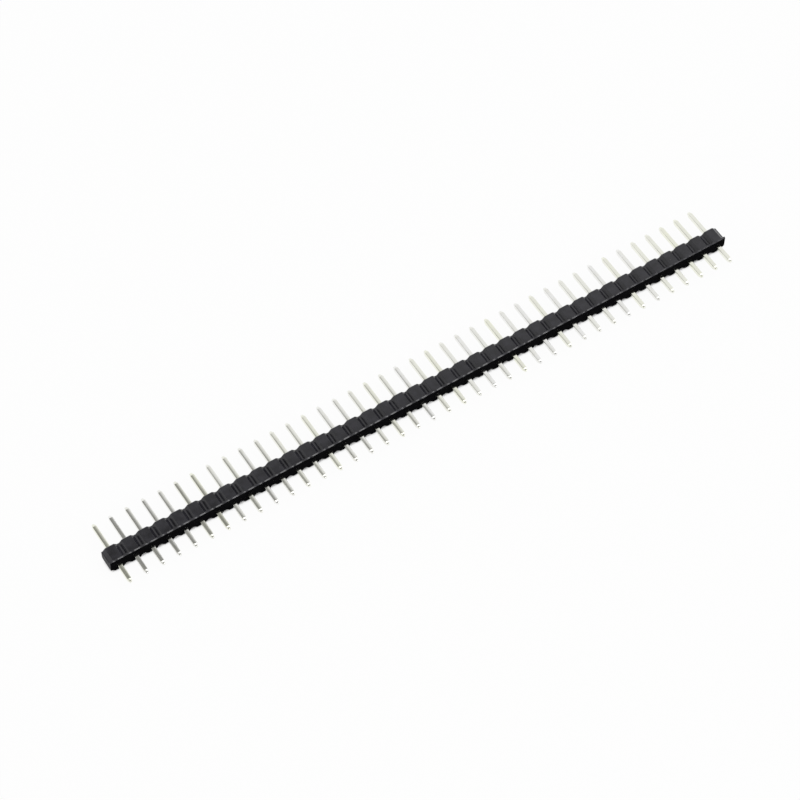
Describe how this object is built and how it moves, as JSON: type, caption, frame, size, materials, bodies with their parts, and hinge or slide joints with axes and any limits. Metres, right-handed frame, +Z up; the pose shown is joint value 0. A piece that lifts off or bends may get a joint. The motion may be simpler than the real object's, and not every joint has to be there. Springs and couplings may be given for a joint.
{
  "type": "pin header strip",
  "caption": "Straight break-away pin header strip: a row of square metal pins pressed through a notched black plastic housing, with long mating ends and short solder tails.",
  "frame": {"origin": "centre of the strip's footprint, on the surface that the strip lies on", "axes": "+X along the row, +Y towards the long mating ends of the pins, +Z up out of the long side opposite the one it lies on"},
  "size_m": [0.1016, 0.0106, 0.0025],
  "materials": {
    "housing": "black glass-filled thermoplastic, smooth from the mould with a soft sheen",
    "pins": "square brass wire with a bright tin plate"
  },
  "bodies": {
    "root": {"housing": "housing", "pin_01": "pins", "pin_02": "pins", "pin_03": "pins", "pin_04": "pins", "pin_05": "pins", "pin_06": "pins", "pin_07": "pins", "pin_08": "pins", "pin_09": "pins", "pin_10": "pins", "pin_11": "pins", "pin_12": "pins", "pin_13": "pins", "pin_14": "pins", "pin_15": "pins", "pin_16": "pins", "pin_17": "pins", "pin_18": "pins", "pin_19": "pins", "pin_20": "pins", "pin_21": "pins", "pin_22": "pins", "pin_23": "pins", "pin_24": "pins", "pin_25": "pins", "pin_26": "pins", "pin_27": "pins", "pin_28": "pins", "pin_29": "pins", "pin_30": "pins", "pin_31": "pins", "pin_32": "pins", "pin_33": "pins", "pin_34": "pins", "pin_35": "pins", "pin_36": "pins", "pin_37": "pins", "pin_38": "pins", "pin_39": "pins", "pin_40": "pins"}
  },
  "joints": []
}
